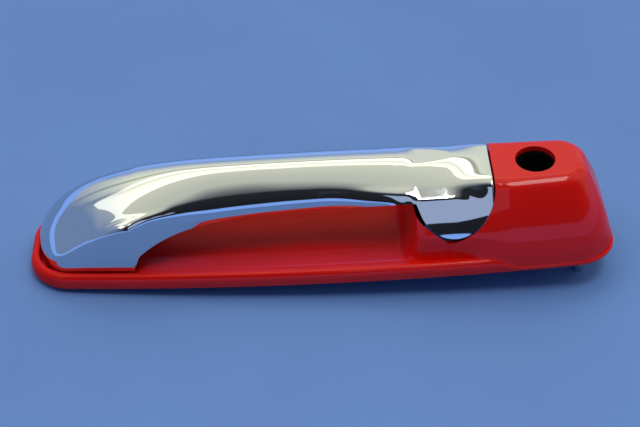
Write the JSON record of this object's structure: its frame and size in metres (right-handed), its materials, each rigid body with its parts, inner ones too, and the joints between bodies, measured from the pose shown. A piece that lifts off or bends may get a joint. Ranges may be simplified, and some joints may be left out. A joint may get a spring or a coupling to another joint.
{
  "type": "car door handle",
  "caption": "Outside car door handle: a red painted housing with a bright plated pull grip, a round lock opening and the pull linkage behind.",
  "frame": {"origin": "middle of the gasket's face that lies on the door skin", "axes": "+X along the handle towards the lock end, +Z out of the door, +Y across the handle"},
  "size_m": [0.2852, 0.0644, 0.0602],
  "materials": {
    "housing": "gloss red paint with clear coat over moulded plastic",
    "housing_gasket": "matt rubber",
    "chassis": "glass-filled nylon, matt",
    "lock_sleeve": "moulded black plastic",
    "lock_seal": "matt rubber",
    "fixing_studs": "zinc-plated steel",
    "housing_screws": "zinc-plated steel",
    "front_hook": "spring steel, phosphated",
    "pivot_pin": "ground steel",
    "pivot_bushes": "natural acetal",
    "pivot_clip": "spring steel, phosphated",
    "grip_cover": "bright chrome plating on plastic",
    "grip_carrier": "glass-filled nylon, matt",
    "grip_screws": "zinc-plated steel",
    "grip_buffer": "matt rubber",
    "leg_shoe": "natural acetal",
    "crank": "yellow-passivated die-cast zinc",
    "crank_pin": "ground steel",
    "crank_bushes": "natural acetal",
    "crank_clip": "spring steel, phosphated",
    "counterweight": "as-cast steel slug",
    "weight_rivet": "zinc-plated steel",
    "return_spring": "oiled spring wire",
    "crank_stop": "matt rubber",
    "rod_clip": "green acetal",
    "leg_seal": "closed-cell foam"
  },
  "bodies": {
    "base": {"housing": "housing", "housing_gasket": "housing_gasket", "chassis": "chassis", "lock_sleeve": "lock_sleeve", "lock_seal": "lock_seal", "fixing_studs": "fixing_studs", "housing_screws": "housing_screws", "front_hook": "front_hook", "pivot_pin": "pivot_pin", "pivot_clip": "pivot_clip", "crank_pin": "crank_pin", "crank_clip": "crank_clip", "crank_stop": "crank_stop", "leg_seal": "leg_seal", "return_spring": "return_spring"},
    "grip": {"grip_cover": "grip_cover", "grip_carrier": "grip_carrier", "grip_screws": "grip_screws", "grip_buffer": "grip_buffer", "leg_shoe": "leg_shoe", "pivot_bushes": "pivot_bushes"},
    "crank": {"crank": "crank", "crank_bushes": "crank_bushes", "counterweight": "counterweight", "weight_rivet": "weight_rivet"},
    "clip": {"rod_clip": "rod_clip"}
  },
  "joints": [
    {"name": "grip_swing", "type": "hinge", "parent": "base", "child": "grip", "pos_m": [-0.127, 0.002, 0.008], "axis": [0, -1, 0], "range_deg": [0, 7], "stiffness_Nm_per_rad": 3, "springref_deg": -14.32},
    {"name": "crank_turn", "type": "hinge", "parent": "base", "child": "crank", "pos_m": [0.07, 0.0155, 0.007], "axis": [-1, 0, 0], "range_deg": [0, 60], "deforming": ["return_spring"]},
    {"name": "clip_swivel", "type": "hinge", "parent": "crank", "child": "clip", "pos_m": [0.057, 0.0155, -0.005], "axis": [-1, 0, 0], "range_deg": [-60, 60]}
  ],
  "couplings": [
    {"joint": "crank_turn", "follows": "grip_swing", "ratio": 8.5714}
  ]
}
